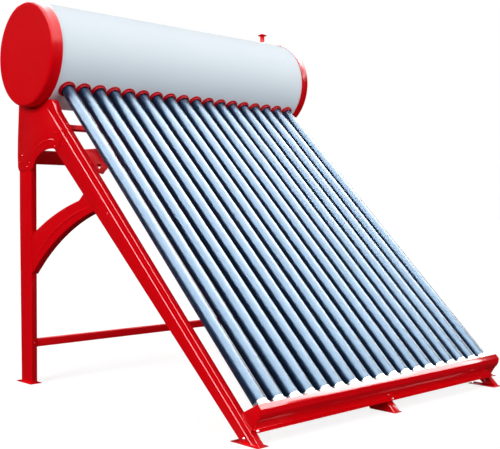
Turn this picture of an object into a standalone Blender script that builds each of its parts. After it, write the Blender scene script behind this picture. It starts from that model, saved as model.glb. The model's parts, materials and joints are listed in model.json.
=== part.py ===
"""Solar water heater: an insulated tank on a bolted steel stand, with a bank of evacuated
glass tubes that plug into the tank and rest in a tail rail at the foot of the slope.

Metres, +Z up. The tank lies along X and the tubes slope down towards -Y. The origin is on
the ground, under the middle of the whole object.
"""

import math

import bmesh
import bpy
from mathutils import Matrix, Vector

# --- Driving dimensions -------------------------------------------------------------------
TUBE_COUNT = 18
TUBE_PITCH = 0.080
TUBE_LENGTH = 1.800
TUBE_OUTER_R = 0.029
TUBE_BORE_R = 0.0235
TUBE_SLOPE = math.radians(44.3)     # above the ground
TUBE_INSERTION = 0.030              # how far the open end reaches into the inner tank

TANK_AXIS_Z = 1.471
CASING_R = 0.230
INNER_TANK_R = 0.180
CAP_RIM_R = 0.2339
CAP_FACE_X = 0.7928
CAP_RIM_X = 0.7406
CASING_END_X = 0.7800
FOAM_END_X = 0.7795
INNER_END_X = 0.7400
INNER_SHOULDER_X = 0.7160

FRONT_REACH = 1.4345                # tank axis to the front of the feet
TANK_AXIS_Y = (FRONT_REACH - CAP_RIM_R) / 2

CASING_SHEET = 0.0008
INNER_SHEET = 0.0012
CAP_WALL = 0.0012
# The cap's outside and inside from its face to its rim: radius, and depth behind the face
CAP_OUTSIDE = ((0.2250, 0.0), (0.2300, 0.0040), (0.2318, 0.0110))
CAP_INSIDE = ((0.2306, 0.0120), (0.2289, 0.0048), (0.2245, CAP_WALL))
FRAME_SHEET = 0.0020
FOOT_PLATE = 0.0030
GAP = 0.0004                        # left between pieces that touch

TUBE_SIDES = 12
SADDLE_STEPS = 12
BRACE_STEPS = 12
TANK_SIDES = 36
PIPE_SIDES = 16

# Seals: a neck through the foam, and a wide lip outside the casing
SEAL_NECK_R = 0.0326
SEAL_LIP_R = 0.0396
SEAL_COLLAR_R = 0.0345
SEAL_LIP_THICKNESS = 0.0040
SEAL_DEPTH = 0.0120
SEAL_START = INNER_TANK_R - 0.0040
HOLE_R = 0.0330

# Stand, in the side view: distances from the tank axis
WEB_X = 0.7430                      # middle of the legs' webs
BAND_X = 0.7330                     # middle of the front leg's set-back band
LEG_LIP_X = 0.7150                  # inner edge of the legs' flanges
BRACKET_X = WEB_X + FRAME_SHEET + GAP
BRACE_X = WEB_X - FRAME_SHEET - 0.0015
REAR_LEG_FRONT = 0.038
REAR_LEG_BACK = 0.138
REAR_LEG_TOE_BACK = 0.126
REAR_LEG_TOP = 1.195
REAR_LEG_BEND = 0.740               # below this height the leg narrows
LEG_OVERRUN = 0.010                 # past the ground, before it is cut off level
SADDLE_R = 0.2357
SHELF_INNER_X = 0.7000              # inner edge of the shelf that the tank lies on
SHELF_STEP_X = CAP_RIM_X - 0.0020   # where the shelf steps out to clear the cap's rim
SADDLE_START = math.radians(-55)    # the shelf's rear end, by angle from +Y
SADDLE_SWEEP = math.radians(-63.5)

# Front leg lines: (distance down the slope, distance square to it) from the tank axis
LEG_TOP_ALONG = 0.245
LEG_END_ALONG = 2.090
LEG_CORNER = (-0.0708, -0.0508)
LEG_BAND_END = (-0.0955, -0.0660)
LEG_STEP_END = (-0.1030, -0.0730)
LEG_REAR = (-0.1970, -0.1030)

# The bracket's outline after the saddle: down its nose, then forwards to back along the arch
BRACKET_NOSE = ((0.236, -0.058), (0.250, -0.051), (0.268, -0.053), (0.290, -0.078),
                (0.302, -0.0995), (0.431, -0.0990))
BRACKET_ARCH = ((-0.186, 1.036), (-0.171, 1.046), (-0.138, 1.049), (-0.096, 1.045),
                (-0.052, 1.033), (-0.017, 1.013), (0.003, 0.990), (0.022, 0.966),
                (0.041, 0.960), (0.138, 0.960), (0.147, 0.980), (0.150, 1.032),
                (0.148, 1.100), (0.141, 1.198))

# Foot plates: X span, and front and back edges behind the tank axis
FRONT_PLATE = (0.7000, 0.7500, -FRONT_REACH, -1.300)
REAR_PLATE = (0.6950, 0.7510, 0.032, 0.160)

# Curved brace: each edge is a circle, by its centre behind the tank axis and above the ground
BRACE_TOP_CIRCLE = (-0.665, -0.552, 1.410)
BRACE_BOTTOM_CIRCLE = (-0.768, -0.343, 1.163)
BRACE_REAR_END = 0.0345
BRACE_FRONT_TOP = -0.452
BRACE_FRONT_BOTTOM = -0.480
BRACE_FLANGE = 0.030
BRACE_FLANGE_DROP = 0.002
BRACE_RIDGE_SHARE = 0.62            # the flat's fold line, from the top edge to the bottom one
TAB_DEPTH = (0.0330, 0.0365)        # the brace's bolting tab, behind the tank axis
TAB_HEIGHT = (0.520, 0.655)

# Crossbars: bottom, top and depth of the rear ones, and the front one's section on the slope
REAR_BARS = (("rear_crossbar_upper", 0.992, 1.052, 0.030),
             ("rear_crossbar_lower", 0.167, 0.201, 0.024))
FRONT_BAR_SECTION = ((0.384, -0.0860), (0.384, -0.0740), (0.414, -0.0740), (0.414, -0.0860))
BAR_GAP = 0.0005

# Middle foot, on the slope, and its plate
MIDDLE_FOOT_WEB_X = -0.015
MIDDLE_FOOT_LIP_X = 0.019
MIDDLE_FOOT_ALONG = (1.932, 2.120)
MIDDLE_FOOT_ABOVE = -0.0520
MIDDLE_FOOT_BACK = -0.1350
MIDDLE_PLATE = (MIDDLE_FOOT_WEB_X - 0.001, MIDDLE_FOOT_LIP_X + 0.006, -FRONT_REACH, -1.310)

# Tail rail and its cups
RAIL_HALF = 0.7345
RAIL_PROFILE = ((1.943, 0.0405), (1.9625, 0.0390), (1.975, 0.0250), (1.980, 0.0110),
                (1.9805, -0.0050), (1.988, -0.0420), (2.009, -0.0270))
RAIL_END_BACK = ((1.984, -0.0495), (1.920, -0.0495), (1.918, -0.0380))
CUP_R = 0.0322
CUP_BORE_R = 0.0297
CUP_DEPTH = 0.022
CUP_PLATE = 0.0030
CUP_STRIP_HALF = 0.7318
CUP_STRIP_WIDTH = 0.068
RAIL_END_INSET = 0.0002

# Vent and water connections
VENT_X = 0.667
VENT_PIPE_R = 0.0100
VENT_BORE_R = 0.0080
VENT_SLEEVE_R = 0.0118
VENT_BRIM_R = 0.0245
VENT_PIPE_LOW = 0.165               # heights above the tank axis
VENT_PIPE_TOP = 0.264
VENT_SLEEVE_LOW = 0.2400
VENT_BRIM_LOW = 0.2770
VENT_BORE_TOP = 0.2830
VENT_TOP = 0.2910
PORT_X = 0.520
PORT_DROP = 0.130                   # below the tank axis
PORT_R = 0.0132
PORT_BORE_R = 0.0100
PORT_END = 0.2300                   # behind the tank axis
PORT_START = 0.1050

NAME = "solar_water_heater"
SIDES = (("left", -1), ("right", 1))

RED = ((0.60, 0.004, 0.008), 0.28, 0.0)
SILVER_BLUE = ((0.72, 0.78, 0.84), 0.30, 0.4)
STAINLESS = ((0.60, 0.61, 0.62), 0.35, 1.0)
FOAM = ((0.80, 0.72, 0.45), 0.90, 0.0)
SILICONE = ((0.58, 0.006, 0.010), 0.50, 0.0)
TUBE_BLUE = ((0.03, 0.06, 0.14), 0.10, 0.0)
CUP_WHITE = ((0.85, 0.84, 0.80), 0.45, 0.0)


# --- Helpers ------------------------------------------------------------------------------
def material(name, finish):
    """A plain Principled material of this colour, roughness and metallic value."""
    colour, roughness, metallic = finish
    mat = bpy.data.materials.new(name)
    mat.use_nodes = True
    shader = mat.node_tree.nodes["Principled BSDF"]
    shader.inputs["Base Color"].default_value = (*colour, 1.0)
    shader.inputs["Roughness"].default_value = roughness
    shader.inputs["Metallic"].default_value = metallic
    return mat


def slope_point(x, along, above):
    """The point this far down the tubes from the tank axis, and this far square to them."""
    y = TANK_AXIS_Y - along * math.cos(TUBE_SLOPE) - above * math.sin(TUBE_SLOPE)
    z = TANK_AXIS_Z - along * math.sin(TUBE_SLOPE) + above * math.cos(TUBE_SLOPE)
    return Vector((x, y, z))


def side_outline(points):
    """Slope coordinates as (y, z)."""
    places = [slope_point(0, along, above) for along, above in points]
    return [(place.y, place.z) for place in places]


def side_point(x, behind, height):
    """The point this far behind the tank axis, at this height above the ground."""
    return Vector((x, TANK_AXIS_Y + behind, height))


def slope_matrix(x):
    """Local Z up the tubes' slope, with the local origin on the tank axis."""
    tilt = Matrix.Rotation(-(math.pi / 2 - TUBE_SLOPE), 4, "X")
    return Matrix.Translation((x, TANK_AXIS_Y, TANK_AXIS_Z)) @ tilt


def tank_matrix(side=1):
    """Local Z along the tank, towards +X (side 1) or -X (side -1)."""
    turn = Matrix.Rotation(side * math.pi / 2, 4, "Y")
    return Matrix.Translation((0, TANK_AXIS_Y, TANK_AXIS_Z)) @ turn


def add(name, mesh, collection, finish=None, matrix=None):
    """Link a new object, with its own material and smooth shading on its round faces."""
    obj = bpy.data.objects.new(name, mesh)
    collection.objects.link(obj)
    if finish:
        mesh.materials.append(material(name, finish))
    if matrix:
        obj.matrix_world = matrix
    mesh.shade_smooth()
    mesh.set_sharp_from_angle(angle=math.radians(35))
    return obj


def turned(name, outlines, sides, collection, finish, matrix):
    """A solid of revolution about local Z, from (radius, height) outlines.

    Each outline runs down its outer side and back up its bore. One that starts off the
    axis is closed by an edge from its end to its start.
    """
    mesh = bpy.data.meshes.new(name)
    bm = bmesh.new()
    for outline in outlines:
        points = [bm.verts.new((radius, 0, height)) for radius, height in outline]
        for start, end in zip(points, points[1:]):
            if start.co.x > 0 or end.co.x > 0:
                bm.edges.new((start, end))
        if outline[0][0] > 0:
            bm.edges.new((points[-1], points[0]))
    bm.to_mesh(mesh)
    bm.free()
    obj = add(name, mesh, collection, finish, matrix)
    screw = obj.modifiers.new("Turn", "SCREW")
    screw.steps = sides
    screw.render_steps = sides
    screw.use_merge_vertices = True
    screw.merge_threshold = 0.00005
    return obj


def folded_sheet(name, stations, collection, finish, thickness=FRAME_SHEET):
    """Bent sheet metal: one line of points across the sheet at each station along it."""
    mesh = bpy.data.meshes.new(name)
    bm = bmesh.new()
    rows = [[bm.verts.new(point) for point in station] for station in stations]
    for near, far in zip(rows, rows[1:]):
        for i in range(len(near) - 1):
            bm.faces.new((near[i], near[i + 1], far[i + 1], far[i]))
    bmesh.ops.recalc_face_normals(bm, faces=bm.faces)
    bm.to_mesh(mesh)
    bm.free()
    obj = add(name, mesh, collection, finish)
    solidify = obj.modifiers.new("Sheet", "SOLIDIFY")
    solidify.thickness = thickness
    solidify.offset = 0
    solidify.use_even_offset = True
    return obj


def plate(name, outline, x, collection, finish, thickness=FRAME_SHEET):
    """A flat plate square to X, from an outline of (y, z) points, as a mesh."""
    curve = bpy.data.curves.new(name, "CURVE")
    curve.dimensions = "2D"
    curve.fill_mode = "BOTH"
    curve.extrude = thickness / 2
    spline = curve.splines.new("POLY")
    spline.points.add(len(outline) - 1)
    for point, (y, z) in zip(spline.points, outline):
        point.co = (y, z, 0, 1)
    spline.use_cyclic_u = True
    guide = bpy.data.objects.new(name, curve)
    collection.objects.link(guide)
    # Local X, Y and Z lie along the world's Y, Z and X
    guide.matrix_world = Matrix(((0, 0, 1, x), (1, 0, 0, 0), (0, 1, 0, 0), (0, 0, 0, 1)))
    bpy.context.view_layer.update()
    placed = guide.matrix_world.copy()
    filled = guide.evaluated_get(bpy.context.evaluated_depsgraph_get())
    mesh = bpy.data.meshes.new_from_object(filled)
    bpy.data.objects.remove(guide)
    bm = bmesh.new()
    bm.from_mesh(mesh)
    bmesh.ops.remove_doubles(bm, verts=bm.verts, dist=0.00001)
    bmesh.ops.recalc_face_normals(bm, faces=bm.faces)
    bm.to_mesh(mesh)
    bm.free()
    mesh.materials.clear()
    return add(name, mesh, collection, finish, placed)


def box(name, low, high, collection, finish=None, matrix=None):
    """A box between two corners, in the world's axes or the matrix's."""
    mesh = bpy.data.meshes.new(name)
    bm = bmesh.new()
    bmesh.ops.create_cube(bm, size=1)
    low, high = Vector(low), Vector(high)
    bmesh.ops.scale(bm, vec=high - low, verts=bm.verts)
    bmesh.ops.translate(bm, vec=(low + high) / 2, verts=bm.verts)
    bm.to_mesh(mesh)
    bm.free()
    return add(name, mesh, collection, finish, matrix)


def cylinders(name, placements, collection):
    """One cutter of cylinders that don't touch: (matrix, radius, low, high, sides) each."""
    mesh = bpy.data.meshes.new(name)
    bm = bmesh.new()
    for matrix, radius, low, high, sides in placements:
        shift = Matrix.Translation((0, 0, (low + high) / 2))
        turn = Matrix.Rotation(math.pi / 2, 4, "Z")
        bmesh.ops.create_cone(
            bm, cap_ends=True, segments=sides, radius1=radius, radius2=radius,
            depth=high - low, matrix=matrix @ shift @ turn)
    bm.to_mesh(mesh)
    bm.free()
    return hide(add(name, mesh, collection))


def hide(obj):
    """Mark an object as a cutter or a guide."""
    obj.hide_render = True
    obj.display_type = "WIRE"
    return obj


def boolean(obj, other, operation):
    """Cut this object with another, or join the other to it."""
    modifier = obj.modifiers.new(operation.title(), "BOOLEAN")
    modifier.operation = operation
    modifier.object = other
    modifier.solver = "EXACT"


def arc(centre, radius, start, end, steps):
    """Points on a circle, by angle from +Y towards +Z, in the side view."""
    points = []
    for i in range(steps + 1):
        angle = start + (end - start) * i / steps
        points.append((centre[0] + radius * math.cos(angle), centre[1] + radius * math.sin(angle)))
    return points


def tube_places():
    """Each tube's number and its X."""
    first = -(TUBE_COUNT - 1) / 2 * TUBE_PITCH
    return [(i + 1, first + i * TUBE_PITCH) for i in range(TUBE_COUNT)]


# --- Tank ---------------------------------------------------------------------------------
def dished_head(radius, shoulder, end):
    """Half a vessel's outline, from the middle of its head to its straight wall."""
    rise = end - shoulder
    return [
        (0, end),
        (radius * 0.60, end - rise * 0.20),
        (radius * 0.92, end - rise * 0.60),
        (radius, shoulder),
    ]


def vessel_outline(radius, shoulder, end):
    """A closed vessel's outline, from its +Z end to its -Z end."""
    head = dished_head(radius, shoulder, end)
    return head + [(r, -z) for r, z in reversed(head)]


def vent_matrix():
    return Matrix.Translation((VENT_X, TANK_AXIS_Y, TANK_AXIS_Z))


def port_matrix(side):
    """Local Z straight back, level with a water connection."""
    turn = Matrix.Rotation(-math.pi / 2, 4, "X")
    place = Matrix.Translation((side * PORT_X, TANK_AXIS_Y, TANK_AXIS_Z - PORT_DROP))
    return place @ turn


def tank_holes(cutters):
    """The tube holes, the vent hole and the two water connection holes, as one cutter."""
    holes = []
    for _, x in tube_places():
        holes.append((slope_matrix(x), HOLE_R, -0.30, -0.12, TUBE_SIDES))
    holes.append((vent_matrix(), VENT_PIPE_R + GAP, 0.12, 0.30, PIPE_SIDES))
    for _, side in SIDES:
        holes.append((port_matrix(side), PORT_R + GAP, 0.06, 0.30, PIPE_SIDES))
    return cylinders("tank_holes", holes, cutters)


def build_tank(parts, cutters):
    holes = tank_holes(cutters)

    sheet = [(CASING_R, CASING_END_X), (CASING_R, -CASING_END_X),
             (CASING_R - CASING_SHEET, -CASING_END_X), (CASING_R - CASING_SHEET, CASING_END_X)]
    casing = turned("tank_outer_shell", [sheet], TANK_SIDES, parts, SILVER_BLUE, tank_matrix())
    boolean(casing, holes, "DIFFERENCE")

    foam_r = CASING_R - CASING_SHEET - GAP
    foam_outline = [(0, FOAM_END_X), (foam_r, FOAM_END_X), (foam_r, -FOAM_END_X), (0, -FOAM_END_X)]
    room = vessel_outline(INNER_TANK_R + GAP, INNER_SHOULDER_X, INNER_END_X + GAP)
    foam = turned("insulation_foam", [foam_outline, room[::-1]], TANK_SIDES, parts, FOAM,
                  tank_matrix())
    boolean(foam, holes, "DIFFERENCE")

    outer = vessel_outline(INNER_TANK_R, INNER_SHOULDER_X, INNER_END_X)
    inner = vessel_outline(INNER_TANK_R - INNER_SHEET, INNER_SHOULDER_X, INNER_END_X - INNER_SHEET)
    vessel = turned("inner_tank", [outer, inner[::-1]], TANK_SIDES, parts, STAINLESS, tank_matrix())
    boolean(vessel, holes, "DIFFERENCE")

    cap = [(0, CAP_FACE_X)]
    cap += [(radius, CAP_FACE_X - depth) for radius, depth in CAP_OUTSIDE]
    cap += [(CAP_RIM_R, CAP_RIM_X), (CAP_RIM_R - CAP_WALL, CAP_RIM_X)]
    cap += [(radius, CAP_FACE_X - depth) for radius, depth in CAP_INSIDE]
    cap.append((0, CAP_FACE_X - CAP_WALL))
    for word, side in SIDES:
        turned(f"end_cap_{word}", [cap], TANK_SIDES, parts, RED, tank_matrix(side))


# --- Tubes and their seals ----------------------------------------------------------------
def tube_outline():
    """A thick test tube: closed and round at the bottom, open where it meets the water."""
    top = -(INNER_TANK_R - TUBE_INSERTION)
    end = top - TUBE_LENGTH
    centre = end + TUBE_OUTER_R
    quarter = math.pi / 2
    outer = [(TUBE_OUTER_R * math.cos(a), centre - TUBE_OUTER_R * math.sin(a))
             for a in (0, quarter / 3, quarter * 2 / 3)]
    bore = [(TUBE_BORE_R * math.cos(a), centre - TUBE_BORE_R * math.sin(a))
            for a in (quarter / 2, 0)]
    bottom = [(0, end), (0, centre - TUBE_BORE_R)]
    return [(TUBE_OUTER_R, top)] + outer + bottom + bore + [(TUBE_BORE_R, top)]


def seal_outline():
    """A neck through the foam, and outside the casing a lip that narrows to a collar."""
    bore = TUBE_OUTER_R + GAP
    lip = -(CASING_R + GAP)
    return [
        (SEAL_NECK_R, -SEAL_START),
        (SEAL_NECK_R, lip),
        (SEAL_LIP_R, lip),
        (SEAL_LIP_R, lip - SEAL_LIP_THICKNESS),
        (SEAL_COLLAR_R, lip - SEAL_DEPTH),
        (bore, lip - SEAL_DEPTH),
        (bore, -SEAL_START),
    ]


def build_tubes(parts):
    for number, x in tube_places():
        turned(f"vacuum_tube_{number:02d}", [tube_outline()], TUBE_SIDES, parts, TUBE_BLUE,
               slope_matrix(x))
        turned(f"tube_seal_{number:02d}", [seal_outline()], TUBE_SIDES, parts, SILICONE,
               slope_matrix(x))


# --- Vent and water connections -------------------------------------------------------------
def build_vent(parts):
    pipe = [(VENT_PIPE_R, VENT_PIPE_TOP), (VENT_PIPE_R, VENT_PIPE_LOW),
            (VENT_BORE_R, VENT_PIPE_LOW), (VENT_BORE_R, VENT_PIPE_TOP)]
    turned("vent_pipe", [pipe], PIPE_SIDES, parts, STAINLESS, vent_matrix())

    # The dome falls to a thin brim that droops a little, over a plain sleeve
    bore = VENT_PIPE_R + GAP
    mushroom = [
        (0, VENT_TOP),
        (0.0110, VENT_TOP - 0.0012),
        (0.0190, VENT_TOP - 0.0048),
        (VENT_BRIM_R, VENT_BRIM_LOW + 0.0016),
        (VENT_BRIM_R - 0.0006, VENT_BRIM_LOW),
        (VENT_SLEEVE_R, VENT_BRIM_LOW + 0.0015),
        (VENT_SLEEVE_R, VENT_SLEEVE_LOW),
        (bore, VENT_SLEEVE_LOW),
        (bore, VENT_BORE_TOP),
        (0, VENT_BORE_TOP),
    ]
    turned("vent_cap", [mushroom], PIPE_SIDES, parts, RED, vent_matrix())


def build_ports(parts):
    pipe = [(PORT_R, PORT_END), (PORT_R, PORT_START), (PORT_BORE_R, PORT_START),
            (PORT_BORE_R, PORT_END)]
    for name, side in (("cold_water_inlet", -1), ("hot_water_outlet", 1)):
        turned(name, [pipe], PIPE_SIDES, parts, STAINLESS, port_matrix(side))


# --- Stand ----------------------------------------------------------------------------------
def front_leg_station(side, end, along):
    """The front leg's section at its top (end 0) or its foot (end 1)."""
    return [
        slope_point(side * LEG_LIP_X, along, LEG_CORNER[end]),
        slope_point(side * BAND_X, along, LEG_CORNER[end]),
        slope_point(side * BAND_X, along, LEG_BAND_END[end]),
        slope_point(side * WEB_X, along, LEG_STEP_END[end]),
        slope_point(side * WEB_X, along, LEG_REAR[end]),
    ]


def rear_leg_station(side, back, height):
    """The rear leg's section at a height: two flanges turned inwards from a web."""
    return [
        side_point(side * LEG_LIP_X, REAR_LEG_FRONT, height),
        side_point(side * WEB_X, REAR_LEG_FRONT, height),
        side_point(side * WEB_X, back, height),
        side_point(side * LEG_LIP_X, back, height),
    ]


def stand_on_plate(leg, name, low, high, cutters):
    """Cut a leg off level with the ground, and join a foot plate to it."""
    ground = hide(box(f"{name}_ground", (-2, -2, -1), (2, 2, FOOT_PLATE / 2), cutters))
    boolean(leg, ground, "DIFFERENCE")
    boolean(leg, hide(box(f"{name}_plate", low, high, cutters)), "UNION")


def plate_corners(side, x_near, x_far, front, back):
    """A foot plate's two corners, from its X span and its distances behind the tank axis."""
    xs = sorted((side * x_near, side * x_far))
    return (xs[0], TANK_AXIS_Y + front, 0), (xs[1], TANK_AXIS_Y + back, FOOT_PLATE)


def build_legs(parts, cutters):
    for word, side in SIDES:
        name = f"front_leg_{word}"
        ends = enumerate((LEG_TOP_ALONG, LEG_END_ALONG))
        stations = [front_leg_station(side, end, along) for end, along in ends]
        leg = folded_sheet(name, stations, parts, RED)
        low, high = plate_corners(side, *FRONT_PLATE)
        stand_on_plate(leg, name, low, high, cutters)

        name = f"rear_leg_{word}"
        stations = [
            rear_leg_station(side, REAR_LEG_BACK, REAR_LEG_TOP),
            rear_leg_station(side, REAR_LEG_BACK, REAR_LEG_BEND),
            rear_leg_station(side, REAR_LEG_TOE_BACK, -LEG_OVERRUN),
        ]
        leg = folded_sheet(name, stations, parts, RED)
        low, high = plate_corners(side, *REAR_PLATE)
        stand_on_plate(leg, name, low, high, cutters)


def bracket_outline():
    """The saddle bracket in the side view: it straddles both legs over an arched gap."""
    axis = (TANK_AXIS_Y, TANK_AXIS_Z)
    outline = arc(axis, SADDLE_R, SADDLE_START, SADDLE_START + SADDLE_SWEEP, SADDLE_STEPS)
    outline += side_outline(BRACKET_NOSE)
    outline += [(TANK_AXIS_Y + behind, height) for behind, height in BRACKET_ARCH]
    return outline


def saddle_flange(name, side, cutters):
    """The curved shelf that the tank lies on, stepped outwards to clear the cap's rim."""
    shelf_r = CASING_R + GAP + FRAME_SHEET / 2
    profile = [(SHELF_INNER_X, shelf_r), (SHELF_STEP_X, shelf_r), (SHELF_STEP_X, SADDLE_R),
               (BRACKET_X, SADDLE_R)]
    stations = []
    for i in range(SADDLE_STEPS + 1):
        angle = SADDLE_START + SADDLE_SWEEP * i / SADDLE_STEPS
        stations.append([
            Vector((side * x, TANK_AXIS_Y + r * math.cos(angle), TANK_AXIS_Z + r * math.sin(angle)))
            for x, r in profile])
    return hide(folded_sheet(name, stations, cutters, None))


def build_brackets(parts, cutters):
    for word, side in SIDES:
        name = f"saddle_bracket_{word}"
        bracket = plate(name, bracket_outline(), side * BRACKET_X, parts, RED)
        boolean(bracket, saddle_flange(f"{name}_flange", side, cutters), "UNION")


def brace_edge(circle, behind):
    """The height of one of the brace's curved edges, this far behind the tank axis."""
    centre_behind, centre_height, radius = circle
    return centre_height + math.sqrt(radius ** 2 - (behind - centre_behind) ** 2)


def brace_station(side, share):
    """The brace's section at this share of the way from the rear leg to the front one."""
    high = BRACE_REAR_END + (BRACE_FRONT_TOP - BRACE_REAR_END) * share
    low = BRACE_REAR_END + (BRACE_FRONT_BOTTOM - BRACE_REAR_END) * share
    top = brace_edge(BRACE_TOP_CIRCLE, high)
    bottom = brace_edge(BRACE_BOTTOM_CIRCLE, low)
    ridge = high + (low - high) * BRACE_RIDGE_SHARE
    ridge_height = top + (bottom - top) * BRACE_RIDGE_SHARE
    return [
        side_point(side * BRACE_X, high, top),
        side_point(side * BRACE_X, ridge, ridge_height),
        side_point(side * BRACE_X, low, bottom),
        side_point(side * (BRACE_X - BRACE_FLANGE), low, bottom - BRACE_FLANGE_DROP),
    ]


def build_braces(parts, cutters):
    """Curved plates between the rear and front legs, with a flange along the lower edge."""
    for word, side in SIDES:
        stations = [brace_station(side, i / BRACE_STEPS) for i in range(BRACE_STEPS + 1)]
        brace = folded_sheet(f"curved_brace_{word}", stations, parts, RED)
        xs = sorted((side * (BRACE_X + FRAME_SHEET / 2), side * (LEG_LIP_X + FRAME_SHEET)))
        tab = box(f"curved_brace_{word}_tab",
                  (xs[0], TANK_AXIS_Y + TAB_DEPTH[0], TAB_HEIGHT[0]),
                  (xs[1], TANK_AXIS_Y + TAB_DEPTH[1], TAB_HEIGHT[1]), cutters)
        boolean(brace, hide(tab), "UNION")


def channel(name, half, points, parts):
    """A level bar along X: the same folded section at both ends."""
    stations = [[Vector((x, p[0], p[1])) for p in points] for x in (-half, half)]
    return folded_sheet(name, stations, parts, RED)


def build_crossbars(parts):
    half = WEB_X - FRAME_SHEET / 2 - GAP
    front = TANK_AXIS_Y + REAR_LEG_FRONT + FRAME_SHEET + BAR_GAP
    for name, low, high, depth in REAR_BARS:
        points = [(front + depth, high), (front, high), (front, low), (front + depth, low)]
        channel(name, half, points, parts)

    # The front bar lies square to the tubes, bolted under the front legs' flanges
    half = BAND_X - FRAME_SHEET / 2 - GAP
    channel("front_crossbar_upper", half, side_outline(FRONT_BAR_SECTION), parts)


# --- Tail rail ------------------------------------------------------------------------------
def build_tail(parts, cutters):
    rail = channel("tail_rail", RAIL_HALF, side_outline(RAIL_PROFILE), parts)
    end_shape = side_outline(RAIL_PROFILE[:-1] + RAIL_END_BACK)
    end_x = RAIL_HALF - FRAME_SHEET / 2 + RAIL_END_INSET
    for word, side in SIDES:
        end = plate(f"tail_rail_{word}_end", end_shape, side * end_x, cutters, None)
        boolean(rail, hide(end), "UNION")

    floor = INNER_TANK_R - TUBE_INSERTION + TUBE_LENGTH + GAP
    half_width = CUP_STRIP_WIDTH / 2
    strip = box("tail_cup_strip", (-CUP_STRIP_HALF, -half_width, -(floor + CUP_PLATE)),
                (CUP_STRIP_HALF, half_width, -floor), parts, CUP_WHITE, slope_matrix(0))
    bodies = []
    bores = []
    for _, x in tube_places():
        place = slope_matrix(x)
        bodies.append((place, CUP_R, -(floor + CUP_PLATE / 2), -(floor - CUP_DEPTH), TUBE_SIDES))
        bores.append((place, CUP_BORE_R, -floor, -(floor - 1.5 * CUP_DEPTH), TUBE_SIDES))
    boolean(strip, cylinders("cup_bodies", bodies, cutters), "UNION")
    boolean(strip, cylinders("cup_bores", bores, cutters), "DIFFERENCE")


def build_middle_foot(parts, cutters):
    """A short leg under the middle of the tail rail."""
    stations = []
    for along in MIDDLE_FOOT_ALONG:
        stations.append([
            slope_point(MIDDLE_FOOT_LIP_X, along, MIDDLE_FOOT_ABOVE),
            slope_point(MIDDLE_FOOT_WEB_X, along, MIDDLE_FOOT_ABOVE),
            slope_point(MIDDLE_FOOT_WEB_X, along, MIDDLE_FOOT_BACK),
        ])
    foot = folded_sheet("middle_foot", stations, parts, RED)
    low, high = plate_corners(1, *MIDDLE_PLATE)
    stand_on_plate(foot, "middle_foot", low, high, cutters)


def main():
    for obj in list(bpy.data.objects):
        bpy.data.objects.remove(obj, do_unlink=True)
    parts = bpy.data.collections.new(NAME)
    cutters = bpy.data.collections.new("cutters")
    for collection in (parts, cutters):
        bpy.context.scene.collection.children.link(collection)

    build_tank(parts, cutters)
    build_tubes(parts)
    build_vent(parts)
    build_ports(parts)
    build_legs(parts, cutters)
    build_brackets(parts, cutters)
    build_braces(parts, cutters)
    build_crossbars(parts)
    build_tail(parts, cutters)
    build_middle_foot(parts, cutters)


main()
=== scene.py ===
import json
import math

import bmesh
import bpy
from mathutils import Matrix, Quaternion, Vector


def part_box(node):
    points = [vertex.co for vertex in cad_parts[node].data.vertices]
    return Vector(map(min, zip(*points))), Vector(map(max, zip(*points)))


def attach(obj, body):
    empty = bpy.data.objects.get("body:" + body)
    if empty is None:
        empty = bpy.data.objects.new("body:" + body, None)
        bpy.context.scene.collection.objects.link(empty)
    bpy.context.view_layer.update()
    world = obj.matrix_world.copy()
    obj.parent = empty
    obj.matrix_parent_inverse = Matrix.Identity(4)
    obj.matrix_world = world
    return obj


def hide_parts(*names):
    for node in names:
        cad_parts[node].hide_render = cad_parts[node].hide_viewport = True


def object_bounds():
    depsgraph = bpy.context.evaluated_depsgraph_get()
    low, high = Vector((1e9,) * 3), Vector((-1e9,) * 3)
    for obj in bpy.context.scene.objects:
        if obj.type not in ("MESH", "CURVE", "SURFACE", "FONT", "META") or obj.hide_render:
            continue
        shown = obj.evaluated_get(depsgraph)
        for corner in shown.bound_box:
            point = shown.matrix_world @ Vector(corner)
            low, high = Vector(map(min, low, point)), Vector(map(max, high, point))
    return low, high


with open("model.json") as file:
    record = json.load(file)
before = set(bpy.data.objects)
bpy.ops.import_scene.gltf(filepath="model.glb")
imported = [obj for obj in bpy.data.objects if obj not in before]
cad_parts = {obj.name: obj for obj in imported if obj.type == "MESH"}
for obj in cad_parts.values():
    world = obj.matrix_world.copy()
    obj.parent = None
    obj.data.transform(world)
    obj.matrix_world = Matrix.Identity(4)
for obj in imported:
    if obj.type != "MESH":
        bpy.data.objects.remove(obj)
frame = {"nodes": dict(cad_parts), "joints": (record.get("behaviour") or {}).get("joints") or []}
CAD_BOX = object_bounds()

# --- The frame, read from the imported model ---
CASING_END_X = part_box("tank_outer_shell")[1].x
CAP_LOW, CAP_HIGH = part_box("end_cap_right")
TANK_AXIS_Y = (CAP_LOW.y + CAP_HIGH.y) / 2
TANK_AXIS_Z = (CAP_LOW.z + CAP_HIGH.z) / 2
CAP_RIM_R = (CAP_HIGH.z - CAP_LOW.z) / 2
CAP_RIM_X = CAP_LOW.x
CAP_FACE_X = CAP_HIGH.x
CASING_R = 0.2300
FRONT_REACH = TANK_AXIS_Y - CAD_BOX[0].y

TUBE_JOINT = next(j for j in frame["joints"] if j["child"] == "tube_01")
UP_THE_TUBE = Vector(TUBE_JOINT["axis"]).normalized()
TUBE_SLOPE = math.atan2(UP_THE_TUBE.z, UP_THE_TUBE.y)
TUBE_COUNT = sum(1 for node in frame["nodes"] if node.startswith("vacuum_tube"))
TUBE_X = [sum(corner.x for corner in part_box(f"vacuum_tube_{i:02d}")) / 2 for i in range(1, TUBE_COUNT + 1)]

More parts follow.
